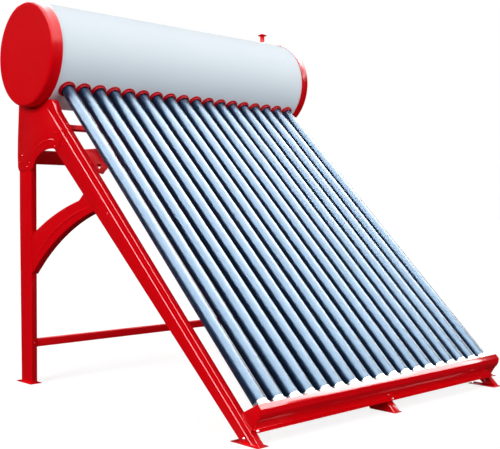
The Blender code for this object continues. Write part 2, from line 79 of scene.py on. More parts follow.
# --- Tubes and pipes ---
TUBE_OUTER_R = 0.0290
TUBE_WALL = 0.0018
TUBE_TOP = 0.150  # the tube's open end, down the slope from the tank axis
TUBE_NECK = 0.190  # where the neck ends and the clear glass starts
TUBE_END = 1.950
TUBE_RINGS = (0.60, 1.10, 1.55)  # spare rings along the straight walls
CORE_R = 0.0265
CORE_WALL = 0.0016
TUBE_HOLE_R = 0.0330
PORT_X = 0.520
PORT_DROP = 0.130
PORT_HOLE_R = 0.0136
VENT_X = 0.667
VENT_HOLE_R = 0.0104

# --- Sheet metal: the CAD model's lines, but a front leg with a shallower step ---
SHEET = 0.0020
HOOD_SHEET = 0.0018
FOOT_PLATE = 0.0030
FLOOR_CUT = FOOT_PLATE - 0.0005  # the legs end just inside their foot plates
PLATE_EDGE = 0.0007
GAP = 0.0006  # between two sheets that touch
BEND_R = 0.0032
SMALL_BEND_R = 0.0025
RIB_SINK = 0.0003  # how far a pressed rib's edge lies inside its sheet
WEB_X = 0.7430
BAND_X = 0.7400
LEG_LIP_X = 0.7150
BRACKET_X = 0.7454
BRACE_X = 0.7395
REAR_LEG_FRONT = 0.038
REAR_LEG_BACK = 0.138
REAR_LEG_TOE_BACK = 0.126
REAR_LEG_TOP = 1.195
SADDLE_R = 0.2357

LEG_TOP_ALONG = 0.245
LEG_END_ALONG = 2.090
LEG_CORNER = (-0.0662, -0.0511)
LEG_BAND_END = (-0.1012, -0.0712)
LEG_STEP_END = (-0.1030, -0.0730)
LEG_REAR = (-0.1970, -0.1030)

# The bracket's hood: its edge on the plate and its corner, down the slope; the corner's level; band X
HOOD_EDGE = -0.0985
HOOD_LINES = ((0.2150, 0.2270, -0.0705, 0.7452), (0.2270, 0.2370, -0.0585, 0.7452),
              (0.2390, 0.2460, -0.0520, 0.7452), (0.2510, 0.2560, -0.0490, 0.7450),
              (0.2630, 0.2660, -0.0492, 0.7446), (0.2770, 0.2790, -0.0525, 0.7438),
              (0.2920, 0.2930, -0.0575, 0.7428), (0.3060, 0.3060, -0.0612, 0.7420),
              (0.3200, 0.3200, -0.0632, 0.7416), (0.3400, 0.3400, -0.0638, 0.7414),
              (0.3900, 0.3900, -0.0632, 0.7414), (0.4330, 0.4330, -0.0627, 0.7414))

RAIL_HALF = 0.7345
RAIL_PROFILE = ((1.943, 0.0396), (1.9648, 0.0391), (1.9760, 0.0250), (1.980, 0.0110),
                (1.9805, -0.0050), (1.988, -0.0420), (2.009, -0.0270))
RAIL_END_BACK = ((1.984, -0.0495), (1.920, -0.0495), (1.918, -0.0380))


# --- Places ---
def slope_point(x, along, above):
    """The point this far down the tubes from the tank axis, and this far square to them."""
    y = TANK_AXIS_Y - along * math.cos(TUBE_SLOPE) - above * math.sin(TUBE_SLOPE)
    z = TANK_AXIS_Z - along * math.sin(TUBE_SLOPE) + above * math.cos(TUBE_SLOPE)
    return Vector((x, y, z))


def slope_outline(points):
    """The (y, z) of points given down the slope and square to it."""
    return [slope_point(0, *point).yz for point in points]


def side_point(x, behind, height):
    """The point this far behind the tank axis, at this height above the ground."""
    return Vector((x, TANK_AXIS_Y + behind, height))


def around_tank(x, radius, angle):
    """The point at this angle and distance about the tank axis."""
    return Vector((x, TANK_AXIS_Y + radius * math.cos(angle), TANK_AXIS_Z + radius * math.sin(angle)))


def slope_matrix(x):
    """Local Z up the tubes' slope, with the local origin on the tank axis."""
    tilt = Matrix.Rotation(-(math.pi / 2 - TUBE_SLOPE), 4, "X")
    return Matrix.Translation((x, TANK_AXIS_Y, TANK_AXIS_Z)) @ tilt


def tank_matrix(side=1):
    """Local Z along the tank, towards +X (side 1) or -X (side -1)."""
    turn = Matrix.Rotation(side * math.pi / 2, 4, "Y")
    return Matrix.Translation((0, TANK_AXIS_Y, TANK_AXIS_Z)) @ turn


def facing(point, direction):
    """A matrix at this point whose local Z faces this way."""
    return Matrix.Translation(point) @ Vector(direction).to_track_quat("Z", "Y").to_matrix().to_4x4()


def blend(ends, along):
    """One of the front leg's lines at this distance down the slope."""
    share = (along - LEG_TOP_ALONG) / (LEG_END_ALONG - LEG_TOP_ALONG)
    return ends[0] + (ends[1] - ends[0]) * share


SLOPE_NORMAL = slope_point(0, 0, 1) - slope_point(0, 0, 0)
SIDES = (("left", -1), ("right", 1))


# --- Materials ---
class Shader:
    """A Principled material, and the few node patterns that its surfaces share."""

    def __init__(self, name, colour, roughness, metallic=0.0, **constants):
        self.material = bpy.data.materials.new(name)
        self.material.use_nodes = True
        self.nodes = self.material.node_tree.nodes
        self.links = self.material.node_tree.links
        self.principled = self.nodes["Principled BSDF"]
        self.colour = colour
        self.roughness = roughness
        self.set("Base Color", (*colour, 1.0))
        self.set("Roughness", roughness)
        self.set("Metallic", metallic)
        for socket, value in constants.items():
            self.set(socket.replace("_", " "), value)
        self.place = self.nodes.new("ShaderNodeTexCoord").outputs["Object"]

    def set(self, socket, value):
        self.principled.inputs[socket].default_value = value

    def add(self, kind, **inputs):
        """A new node, with its inputs set to values or linked to other nodes' outputs."""
        node = self.nodes.new(kind)
        for name, value in inputs.items():
            socket = node.inputs[name.replace("_", " ")]
            if isinstance(value, bpy.types.NodeSocket):
                self.links.new(value, socket)
            else:
                socket.default_value = value
        return node

    def noise(self, scale, detail, stretch=None):
        """Noise over the object, stretched along its axes if asked."""
        place = self.place
        if stretch:
            place = self.add("ShaderNodeMapping", Scale=stretch, Vector=place).outputs["Vector"]
        return self.add("ShaderNodeTexNoise", Scale=scale, Detail=detail, Vector=place).outputs["Fac"]

    def spread(self, value, low, high, start=0.3, end=0.7):
        """Map a pattern onto a range of values."""
        node = self.add("ShaderNodeMapRange", From_Min=start, From_Max=end, To_Min=low, To_Max=high,
                        Value=value)
        return node.outputs["Result"]

    def vary_roughness(self, pattern, amount):
        low, high = self.roughness - amount, self.roughness + amount
        self.links.new(self.spread(pattern, low, high), self.principled.inputs["Roughness"])
        return self

    def mix_in(self, factor, other):
        """Mix the base colour towards another by this factor."""
        mix = self.nodes.new("ShaderNodeMix")
        mix.data_type = "RGBA"
        source = self.principled.inputs["Base Color"]
        if source.is_linked:
            self.links.new(source.links[0].from_socket, mix.inputs["A"])
        else:
            mix.inputs["A"].default_value = (*self.colour, 1.0)
        mix.inputs["B"].default_value = (*other, 1.0)
        self.links.new(factor, mix.inputs["Factor"])
        self.links.new(mix.outputs["Result"], source)
        return self

    def vary_colour(self, pattern, other, most):
        """Mix towards another colour by a pattern."""
        return self.mix_in(self.spread(pattern, 0.0, most), other)

    def worn_edges(self, other, most):
        """Mix towards another colour where the surface is sharply convex."""
        pointed = self.nodes.new("ShaderNodeNewGeometry").outputs["Pointiness"]
        return self.mix_in(self.spread(pointed, 0.0, most, start=0.53, end=0.62), other)

    def bump(self, pattern, strength, distance):
        node = self.add("ShaderNodeBump", Strength=strength, Distance=distance, Height=pattern)
        self.links.new(node.outputs["Normal"], self.principled.inputs["Normal"])
        return self


def red_paint(name="red_powder_coat", roughness=0.12, level=0.35):
    """Glossy powder coat: fine orange peel, a slightly uneven gloss and paler edges."""
    paint = Shader(name, (0.620, 0.0010, 0.0045), roughness, Specular_IOR_Level=level)
    paint.vary_colour(paint.noise(5.0, 4.0), (0.560, 0.0008, 0.0035), 0.55)
    paint.worn_edges((0.68, 0.012, 0.016), 0.35)
    paint.vary_roughness(paint.noise(14.0, 5.0), 0.03)
    return paint.bump(paint.noise(700.0, 2.0), 0.03, 0.0001).material


def red_plastic():
    """Moulded plastic of the end caps: smoother, with a faint grain."""
    plastic = Shader("red_moulded_plastic", (0.610, 0.0010, 0.0045), 0.20, Specular_IOR_Level=0.09)
    plastic.vary_colour(plastic.noise(3.0, 3.0), (0.570, 0.0008, 0.0035), 0.5)
    plastic.vary_roughness(plastic.noise(10.0, 4.0), 0.03)
    return plastic.bump(plastic.noise(1300.0, 2.0), 0.04, 0.0001).material


def silicone():
    rubber = Shader("red_silicone", (0.42, 0.003, 0.010), 0.42, Specular_IOR_Level=0.04)
    rubber.vary_colour(rubber.noise(60.0, 3.0), (0.34, 0.002, 0.007), 0.6)
    rubber.vary_roughness(rubber.noise(90.0, 3.0), 0.08)
    return rubber.bump(rubber.noise(900.0, 2.0), 0.15, 0.0003).material


def casing():
    """Silver-blue coated steel with fine lengthwise drawing marks."""
    steel = Shader("silver_blue_casing", (0.740, 0.800, 0.845), 0.30, Specular_IOR_Level=0.0)
    steel.vary_colour(steel.noise(2.2, 3.0), (0.705, 0.775, 0.825), 0.6)
    steel.vary_colour(steel.noise(30.0, 4.0, (0.15, 6.0, 6.0)), (0.775, 0.825, 0.860), 0.35)
    steel.vary_roughness(steel.noise(40.0, 4.0, (0.1, 8.0, 8.0)), 0.05)
    return steel.bump(steel.noise(260.0, 3.0, (0.05, 1.0, 1.0)), 0.03, 0.0002).material


def stainless(name="zinc_and_stainless", tone=0.62):
    metal = Shader(name, (tone, tone, tone * 1.02), 0.28, 1.0)
    metal.vary_colour(metal.noise(160.0, 3.0), (tone * 0.8, tone * 0.79, tone * 0.76), 0.7)
    metal.vary_roughness(metal.noise(120.0, 4.0), 0.09)
    return metal.bump(metal.noise(500.0, 3.0), 0.12, 0.0003).material


def foam():
    cells = Shader("polyurethane_foam", (0.78, 0.66, 0.36), 0.92)
    cells.vary_colour(cells.noise(120.0, 5.0), (0.62, 0.48, 0.22), 0.8)
    cells.vary_roughness(cells.noise(80.0, 3.0), 0.05)
    return cells.bump(cells.noise(380.0, 4.0), 0.6, 0.0015).material


def glass():
    """The thin clear wall of the outer tube, which doesn't bend what is seen through it."""
    clear = Shader("borosilicate_glass", (0.002, 0.006, 0.020), 0.04, Alpha=0.01, Specular_IOR_Level=0.0)
    haze = clear.noise(3.0, 3.0)
    clear.vary_roughness(haze, 0.015)
    return clear.vary_colour(haze, (0.004, 0.010, 0.026), 0.5).material


def absorber():
    """Dark blue selective coating on the inner glass tube."""
    coating = Shader("selective_absorber", (0.0006, 0.0060, 0.0240), 0.28, Specular_IOR_Level=0.64,
                     Specular_Tint=(0.58, 0.80, 1.0, 1.0))
    coating.vary_colour(coating.noise(4.0, 3.0, (1.0, 1.0, 0.15)), (0.0010, 0.0080, 0.0300), 0.9)
    return coating.vary_roughness(coating.noise(3.0, 3.0, (1.0, 1.0, 0.1)), 0.004).material


def cup_plastic():
    plastic = Shader("off_white_plastic", (0.86, 0.85, 0.81), 0.38, Subsurface_Weight=0.05)
    plastic.vary_colour(plastic.noise(50.0, 4.0), (0.78, 0.76, 0.70), 0.6)
    plastic.vary_roughness(plastic.noise(80.0, 3.0), 0.07)
    return plastic.bump(plastic.noise(800.0, 2.0), 0.12, 0.0002).material


# Each finish is a material and the slot that it fills
RED = (red_paint(), "red_paint")
RED_DULL = (red_paint("red_powder_coat_dull", 0.45, 0.04), "red_paint")
CAP_RED = (red_plastic(), "red_plastic")
SILICONE = (silicone(), "red_silicone")
CASING = (casing(), "casing")
METAL = (stainless(), "stainless")
MIRROR = (stainless("getter_film", 0.80), "stainless")
FOAM = (foam(), None)
GLASS = (glass(), "tube_glass")
ABSORBER = (absorber(), "absorber")
CUP = (cup_plastic(), "cup_plastic")


# --- Mesh helpers ---
def linked(name, data):
    """A new object, in the scene."""
    obj = bpy.data.objects.new(name, data)
    bpy.context.scene.collection.objects.link(obj)
    return obj


def evaluated(guide, *helpers):
    """The mesh that an object comes to, with the object and its helpers removed."""
    bpy.context.view_layer.update()
    mesh = bpy.data.meshes.new_from_object(guide.evaluated_get(bpy.context.evaluated_depsgraph_get()))
    for obj in (guide, *helpers):
        bpy.data.objects.remove(obj)
    return mesh


def piece(name, mesh, finish, body="stand", matrix=None, stands_for=None, sharp=35):
    """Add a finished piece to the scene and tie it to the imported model."""
    material, slot = finish
    obj = linked(name, mesh)
    if matrix:
        obj.matrix_world = matrix
    if not mesh.materials:
        mesh.materials.append(material)
        mesh.shade_smooth()
        mesh.set_sharp_from_angle(angle=math.radians(sharp))
    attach(obj, body)
    if stands_for:
        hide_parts(stands_for)


def new_mesh(name, bm):
    mesh = bpy.data.meshes.new(name)
    bm.to_mesh(mesh)
    bm.free()
    return mesh


def lathe(bm, profile, segments, closed=False, matrix=None, fit=None):
    """Turn an outline of (radius, height) points about local Z."""
    rings = []
    for radius, height in profile:
        if radius < 1e-7:
            rings.append([bm.verts.new((0, 0, height))])
            continue
        ring = []
        for i in range(segments):
            angle = 2 * math.pi * i / segments
            point = Vector((radius * math.cos(angle), radius * math.sin(angle), height))
            ring.append(bm.verts.new(fit(point) if fit else point))
        rings.append(ring)
    pairs = list(zip(rings, rings[1:]))
    if closed:
        pairs.append((rings[-1], rings[0]))
    for near, far in pairs:
        for i in range(segments):
            j = (i + 1) % segments
            corners = [near[i % len(near)], near[j % len(near)], far[j % len(far)], far[i % len(far)]]
            unique = list(dict.fromkeys(corners))
            if len(unique) > 2:
                bm.faces.new(unique)
    if matrix:
        bmesh.ops.transform(bm, matrix=matrix, verts=[vert for ring in rings for vert in ring])


def turned(name, profile, segments, closed=False, fit=None):
    """A lathed mesh of its own, with its faces turned outwards."""
    bm = bmesh.new()
    lathe(bm, profile, segments, closed, fit=fit)
    bmesh.ops.recalc_face_normals(bm, faces=bm.faces)
    return new_mesh(name, bm)


def shifted(profile, base):
    """An outline of (radius, height) points, moved along its axis."""
    return [(radius, base + height) for radius, height in profile]


def rounded(points, radius=BEND_R, steps=4):
    """A line of points with each corner turned into a bend of this inner radius."""
    result = [points[0]]
    for before, corner, after in zip(points, points[1:], points[2:]):
        back = (before - corner).normalized()
        ahead = (after - corner).normalized()
        half = back.angle(ahead) / 2
        limit = 0.45 * min((before - corner).length, (after - corner).length)
        reach = min(radius / math.tan(half), limit)
        bend = reach * math.tan(half)
        centre = corner + (back + ahead).normalized() * (bend / math.sin(half))
        start = corner + back * reach - centre
        end = corner + ahead * reach - centre
        axis = start.cross(end).normalized()
        turn = start.angle(end)
        for i in range(steps + 1):
            result.append(centre + Quaternion(axis, turn * i / steps) @ start)
    result.append(points[-1])
    return result


def sheet_mesh(name, stations, thickness=SHEET, floor=None, edge=0.0004):
    """Bent sheet metal through lines of points, cut off at a height if asked, and thickened."""
    bm = bmesh.new()
    rows = [[bm.verts.new(point) for point in station] for station in stations]
    for near, far in zip(rows, rows[1:]):
        for i in range(len(near) - 1):
            bm.faces.new((near[i], near[i + 1], far[i + 1], far[i]))
    if floor is not None:
        everything = bm.verts[:] + bm.edges[:] + bm.faces[:]
        bmesh.ops.bisect_plane(
            bm, geom=everything, plane_co=(0, 0, floor), plane_no=(0, 0, -1), clear_outer=True)
    bmesh.ops.recalc_face_normals(bm, faces=bm.faces)
    return thickened(name, new_mesh(name, bm), thickness, edge)


def thickened(name, mesh, thickness, edge):
    """Solidify an open sheet about its middle and round its edges, as a plain mesh."""
    guide = linked(name, mesh)
    solidify = guide.modifiers.new("Sheet", "SOLIDIFY")
    solidify.thickness = thickness
    solidify.offset = 0
    solidify.use_even_offset = True
    bevel = guide.modifiers.new("Edge", "BEVEL")
    bevel.width = edge
    bevel.segments = 2
    bevel.limit_method = "ANGLE"
    bevel.angle_limit = math.radians(50)
    result = evaluated(guide)
    result.name = name
    return result


def outline_mesh(name, outline, x, edge=0.0004):
    """A flat sheet square to X, from an outline of (y, z) points."""
    curve = bpy.data.curves.new(name, "CURVE")
    curve.dimensions = "2D"
    curve.fill_mode = "BOTH"
    curve.extrude = SHEET / 2 - edge
    curve.bevel_depth = edge
    curve.bevel_resolution = 1
    curve.offset = -edge
    spline = curve.splines.new("POLY")
    spline.points.add(len(outline) - 1)
    for point, (y, z) in zip(spline.points, outline):
        point.co = (y, z, 0, 1)
    spline.use_cyclic_u = True
    mesh = evaluated(linked(name, curve))
    # Local X, Y and Z lie along the world's Y, Z and X
    mesh.transform(Matrix(((0, 0, 1, x), (1, 0, 0, 0), (0, 1, 0, 0), (0, 0, 0, 1))))
    bm = bmesh.new()
    bm.from_mesh(mesh)
    bmesh.ops.remove_doubles(bm, verts=bm.verts, dist=0.00001)
    bmesh.ops.recalc_face_normals(bm, faces=bm.faces)
    bm.to_mesh(mesh)
    bm.free()
    mesh.materials.clear()
    return mesh


def joined(name, meshes):
    """Several meshes as one."""
    bm = bmesh.new()
    for mesh in meshes:
        bm.from_mesh(mesh)
    return new_mesh(name, bm)


def block_mesh(name, low, high, edge):
    """A plate between two corners, with rounded edges."""
    bm = bmesh.new()
    bmesh.ops.create_cube(bm, size=1)
    low, high = Vector(low), Vector(high)
    bmesh.ops.scale(bm, vec=high - low, verts=bm.verts)
    bmesh.ops.translate(bm, vec=(low + high) / 2, verts=bm.verts)
    bmesh.ops.bevel(bm, geom=bm.edges[:], offset=edge, segments=2, affect="EDGES", profile=0.5)
    return new_mesh(name, bm)


def rib_mesh(name, path, side, x, width, height):
    """A pressed rib: a half-round bead along a path of (y, z) points on a plate square to X."""
    bm = bmesh.new()
    steps = 6
    rows = []
    for i, (y, z) in enumerate(path):
        before, after = path[max(i - 1, 0)], path[min(i + 1, len(path) - 1)]
        along = Vector((0, after[0] - before[0], after[1] - before[1])).normalized()
        across = along.cross(Vector((1, 0, 0)))
        fade = min(1.0, 3.0 * min(i, len(path) - 1 - i) / len(path))
        rise = height * math.sin(math.pi / 2 * max(fade, 0.02))
        row = []
        for j in range(steps + 1):
            angle = math.pi * j / steps
            offset = across * (width / 2 * math.cos(angle))
            lift = Vector((side * rise * math.sin(angle), 0, 0))
            row.append(bm.verts.new(Vector((x, y, z)) + offset + lift))
        rows.append(row)
    for near, far in zip(rows, rows[1:]):
        for j in range(steps):
            bm.faces.new((near[j], near[j + 1], far[j + 1], far[j]))
        bm.faces.new((near[0], far[0], far[steps], near[steps]))
    bm.faces.new(rows[0])
    bm.faces.new(rows[-1])
    bmesh.ops.recalc_face_normals(bm, faces=bm.faces)
    return new_mesh(name, bm)


def smooth_path(points, steps=5):
    """A Catmull-Rom curve through (y, z) points."""
    padded = [points[0], *points, points[-1]]
    result = []
    for a, b, c, d in zip(padded, padded[1:], padded[2:], padded[3:]):
        for i in range(steps):
            t = i / steps
            result.append(tuple(
                0.5 * (2 * q + (r - p) * t + (2 * p - 5 * q + 4 * r - s) * t * t
                       + (3 * q - p - 3 * r + s) * t ** 3)
                for p, q, r, s in zip(a, b, c, d)))
    return result + [points[-1]]


def arc(centre, radius, start, end, steps):
    """Points on a circle, by angle from +Y towards +Z, in the side view."""
    points = []
    for i in range(steps + 1):
        angle = start + (end - start) * i / steps
        points.append((centre[0] + radius * math.cos(angle), centre[1] + radius * math.sin(angle)))
    return points


# --- Fasteners ---
NUT_DEPTH = SHEET * 2.4  # two sheets and some room behind the head


def bolt_into(bm, matrix, size, shank):
    """A flanged hex bolt: its head stands out along local Z, and its shank and nut are behind."""
    flange = [(0, 0.0002), (0.0082, 0.0002), (0.0086, 0.0008), (0.0080, 0.0018), (0.0060, 0.0022),
              (0, 0.0022)]
    place = matrix @ Matrix.Scale(size, 4)
    lathe(bm, flange, 20, matrix=place)
    head = [(0, 0.0022), (0.0068, 0.0022), (0.0070, 0.0026), (0.0070, 0.0060), (0.0058, 0.0071),
            (0, 0.0074)]
    lathe(bm, head, 6, matrix=place)
    if not shank:
        return
    stud = [(0, 0.0002), (0.0037, 0.0002), (0.0037, -shank), (0.0030, -shank - 0.0008),
            (0, -shank - 0.0008)]
    lathe(bm, stud, 12, matrix=place)
    nut = [(0, 0), (0.0064, 0), (0.0070, -0.0006), (0.0070, -0.0050), (0.0062, -0.0058), (0, -0.0058)]
    lathe(bm, shifted(nut, -NUT_DEPTH), 6, matrix=place)


def bolts(name, places, size=0.60, shank=0.012, finish=METAL):
    """One piece of several bolts, each given as (point, direction its head faces)."""
    bm = bmesh.new()
    for point, direction in places:
        bolt_into(bm, facing(point, direction), size, shank)
    bmesh.ops.recalc_face_normals(bm, faces=bm.faces)
    piece(name, new_mesh(name, bm), finish, sharp=25)


# --- Tank ---
def build_casing():
    """The outer shell, with a hole for each tube and pipe."""
    wall = 0.0008
    profile = [(CASING_R, z) for z in (-CASING_END_X, -0.5, -0.25, 0, 0.25, 0.5, CASING_END_X)]
    profile += [(CASING_R - wall, z) for _, z in reversed(profile)]
    mesh = turned("casing_shell", profile, 180, closed=True)
    mesh.transform(tank_matrix())

    deep, shallow = 0.12, 0.10
    holes = [(slope_matrix(x) @ Matrix.Translation((0, 0, -0.20)), TUBE_HOLE_R, deep, 32) for x in TUBE_X]
    for side in (-1, 1):
        place = side_point(side * PORT_X, 0.20, TANK_AXIS_Z - PORT_DROP)
        holes.append((facing(place, (0, 1, 0)), PORT_HOLE_R, shallow, 24))
    place = side_point(VENT_X, 0, TANK_AXIS_Z + 0.22)
    holes.append((Matrix.Translation(place), VENT_HOLE_R, shallow, 24))
    bm = bmesh.new()
    for matrix, radius, depth, segments in holes:
        bmesh.ops.create_cone(bm, cap_ends=True, segments=segments, radius1=radius, radius2=radius,
                              depth=depth, matrix=matrix)
    cutter = linked("casing_holes", new_mesh("casing_holes", bm))
    shell = linked("casing_guide", mesh)
    cut = shell.modifiers.new("Holes", "BOOLEAN")
    cut.object = cutter
    cut.solver = "EXACT"
    result = evaluated(shell, cutter)
    result.name = "casing_shell"
    result.materials.clear()
    piece("casing_shell", result, CASING, stands_for="tank_outer_shell", sharp=30)
    radial_normals(result)


def radial_normals(mesh):
    """Make the round wall shade as a true cylinder, whatever its faces are cut into."""
    normals = [Vector(corner.vector) for corner in mesh.corner_normals]
    axis = Vector((0, TANK_AXIS_Y, TANK_AXIS_Z))
    for polygon in mesh.polygons:
        out = polygon.center - axis
        out.x = 0
        out.normalize()
        if abs(polygon.normal.dot(out)) < 0.95:
            continue
        sign = 1 if polygon.normal.dot(out) > 0 else -1
        for loop in polygon.loop_indices:
            radial = mesh.vertices[mesh.loops[loop].vertex_index].co - axis
            radial.x = 0
            normals[loop] = radial.normalized() * sign
    mesh.normals_split_custom_set([tuple(normal) for normal in normals])


def build_end_caps():
    """A pressed plastic cover: a flat face, a soft shoulder and a straight rim with a bead."""
    outer_face = [
        (0, -0.0008), (0.060, -0.0008), (0.120, -0.0006), (0.180, -0.0003), (0.2080, 0), (0.2180, 0),
        (0.2235, -0.0004), (0.2268, -0.0018), (0.2290, -0.0044), (0.2302, -0.0085), (0.2308, -0.0130)]
    rim = [
        (0.2330, 0.0080), (CAP_RIM_R - 0.0002, 0.0066), (CAP_RIM_R, 0.0040), (CAP_RIM_R - 0.0001, 0.0014),
        (CAP_RIM_R - 0.0005, 0.0003), (CAP_RIM_R - 0.0012, 0.0001), (0.2314, 0.0014), (0.2303, 0.0100)]
    inner_face = [(0.2292, -0.0140), (0.2270, -0.0062), (0.2230, -0.0030), (0.120, -0.0026), (0, -0.0026)]
    profile = shifted(outer_face, CAP_FACE_X) + shifted(rim, CAP_RIM_X) + shifted(inner_face, CAP_FACE_X)
    mesh = turned("end_cap_cover", profile, 160)
    for word, side in SIDES:
        piece(f"end_cap_cover_{word}", mesh, CAP_RED, matrix=tank_matrix(side),
              stands_for=f"end_cap_{word}", sharp=50)


def build_seam():
    """The casing's lengthwise lock seam, low at the back."""
    angle = math.radians(-38)
    stations = []
    for x in (-0.738, 0.738):
        section = ((-0.030, 0.0006), (-0.018, 0.0022), (0.012, 0.0024), (0.026, 0.0006))
        stations.append(rounded([around_tank(x, CASING_R + lift, angle + turn) for turn, lift in section],
                                0.0015, 3))
    piece("casing_lock_seam", sheet_mesh("casing_lock_seam", stations, 0.0008, edge=0.0002), CASING)


# --- Tubes ---
def round_end(radius, centre, steps=8):
    """A quarter circle down to the tube's closed tip, as (radius, height) points."""
    points = []
    for i in range(steps + 1):
        angle = math.pi / 2 * i / steps
        points.append((radius * math.cos(angle) if i < steps else 0.0, centre - radius * math.sin(angle)))
    return points


def build_tubes():
    """Each evacuated tube: clear outer glass, a dark coated inner tube and a silvered end."""
    bore_r = TUBE_OUTER_R - TUBE_WALL
    tip = -(TUBE_END - TUBE_OUTER_R)
    down = [-ring for ring in TUBE_RINGS]
    up = down[::-1]
    profile = [(TUBE_OUTER_R, z) for z in (-TUBE_NECK, *down)]
    profile += round_end(TUBE_OUTER_R, tip) + round_end(bore_r, tip)[::-1]
    profile += [(bore_r, z) for z in (*up, -TUBE_NECK)]
    outer = turned("tube_glass", profile, 48, closed=True)

    core_bore_r = CORE_R - CORE_WALL
    core_tip = -(TUBE_END - 0.0040 - CORE_R)
    profile = [(core_bore_r, -TUBE_TOP), (CORE_R, -TUBE_TOP - 0.0015)] + [(CORE_R, z) for z in down]
    profile += round_end(CORE_R, core_tip) + round_end(core_bore_r, core_tip)[::-1]
    profile += [(core_bore_r, z) for z in up]
    core = turned("tube_absorber", profile, 48, closed=True)

    # The glass closes onto the inner tube at its open end
    collar = turned("tube_neck", [
        (TUBE_OUTER_R, -0.1905), (TUBE_OUTER_R, -0.160), (0.0286, -0.153), (0.0279, -0.1502),
        (0.0272, -0.1508), (0.0268, -0.153), (0.0268, -0.1905)], 32, closed=True)

    film_r = bore_r - 0.0001
    film_bore_r = film_r - 0.0003
    film_top = -1.9160
    film = [(film_r, film_top)] + round_end(film_r, tip, 6)
    film += round_end(film_bore_r, tip, 6)[::-1] + [(film_bore_r, film_top)]
    getter = turned("tube_getter", film, 40, closed=True)

    for number, x in enumerate(TUBE_X, start=1):
        body = f"tube_{number:02d}"
        place = slope_matrix(x)
        piece(f"tube_glass_{number:02d}", outer, GLASS, body, place, f"vacuum_tube_{number:02d}")
        piece(f"tube_absorber_{number:02d}", core, ABSORBER, body, place)
        piece(f"tube_neck_{number:02d}", collar, GLASS, body, place)
        piece(f"tube_getter_{number:02d}", getter, MIRROR, body, place)


def on_casing(point):
    """Bend a ring made for a flat wall onto the round casing, measured down the tube."""
    drop = CASING_R - math.sqrt(CASING_R ** 2 - point.y ** 2)
    return Vector((point.x, point.y, point.z + drop))


def build_dust_rings():
    """Soft rings that close the gap between each tube and the casing."""
    profile = shifted([
        (0.0325, 0.0300), (0.0325, -0.0002), (0.0392, -0.0003), (0.0396, -0.0012), (0.0395, -0.0030),
        (0.0386, -0.0043), (0.0371, -0.0048), (0.0356, -0.0044), (0.0346, -0.0048), (0.0340, -0.0066),
        (0.0335, -0.0100), (0.0328, -0.0117), (0.0316, -0.0122), (0.0302, -0.0119), (0.0295, -0.0106),
        (0.0294, -0.0040), (0.0300, 0.0060), (0.0300, 0.0300)], -CASING_R)
    ring = turned("dust_ring", profile, 56, closed=True, fit=on_casing)
    for number, x in enumerate(TUBE_X, start=1):
        piece(f"dust_ring_{number:02d}", ring, SILICONE, matrix=slope_matrix(x),
              stands_for=f"tube_seal_{number:02d}", sharp=60)


def build_cups():
    """A moulded cup under each tube, on one folded strip."""
    profile = shifted([
        (0, -0.0016), (0.0300, -0.0016), (0.0316, -0.0008), (0.0322, 0.0010), (0.0322, 0.0165),
        (0.0318, 0.0195), (0.0312, 0.0214), (0.0303, 0.0220), (0.0298, 0.0214), (0.0297, 0.0180),
        (0.0297, 0.0060), (0.0290, 0.0020), (0.0270, 0.0004), (0, 0.0001)], -(TUBE_END + 0.0004))
    cup = turned("tail_cup", profile, 48)
    for number, x in enumerate(TUBE_X, start=1):
        piece(f"tail_cup_{number:02d}", cup, CUP, matrix=slope_matrix(x), sharp=50)

    stations = []
    for x in (-0.7316, 0.7316):
        section = [(1.9430, -0.0331), (1.9530, -0.0331), (1.9530, 0.0331), (1.9430, 0.0331)]
        stations.append(rounded([slope_point(x, *point) for point in section], 0.002, 3))
    mesh = sheet_mesh("tail_cup_channel", stations, 0.0012, edge=0.0003)
    piece("tail_cup_channel", mesh, CUP, stands_for="tail_cup_strip")


# --- Vent and connections ---
def build_vent():
    place = Matrix.Translation((VENT_X, TANK_AXIS_Y, TANK_AXIS_Z))
    pipe = turned("vent_stub", [
        (0.0100, 0.2630), (0.0097, 0.2638), (0.0084, 0.2638), (0.0081, 0.2630), (0.0081, 0.166),
        (0.0100, 0.166)], 40, closed=True)
    piece("vent_stub", pipe, METAL, matrix=place, stands_for="vent_pipe")

    cap = turned("vent_cap_dome", [
        (0, 0.2910), (0.0050, 0.2908), (0.0110, 0.2898), (0.0165, 0.2878), (0.0208, 0.2846),
        (0.0235, 0.2808), (0.0244, 0.2788), (0.0245, 0.2778), (0.0240, 0.2771), (0.0228, 0.2770),
        (0.0180, 0.2780), (0.0135, 0.2784), (0.0122, 0.2776), (0.0118, 0.2760), (0.0118, 0.2420),
        (0.0122, 0.2412), (0.0122, 0.2404), (0.0118, 0.2400), (0.0106, 0.2400), (0.0105, 0.2410),
        (0.0105, 0.2826), (0, 0.2830)], 48)
    piece("vent_cap_dome", cap, CAP_RED, "vent_cap", place, "vent_cap", sharp=50)

    profile = shifted([
        (0.0101, 0.004), (0.0101, -0.0092), (0.0110, -0.0097), (0.0132, -0.0094), (0.0140, -0.0080),
        (0.0142, -0.0040), (0.0160, -0.0032), (0.0182, -0.0026), (0.0188, -0.0014), (0.0188, -0.0002),
        (0.0150, 0.0001)], -CASING_R)
    bush = turned("vent_bush", profile, 40, closed=True, fit=on_casing)
    flipped = place @ Matrix.Rotation(math.pi, 4, "X")
    piece("vent_bush", bush, CUP, matrix=flipped, sharp=60)


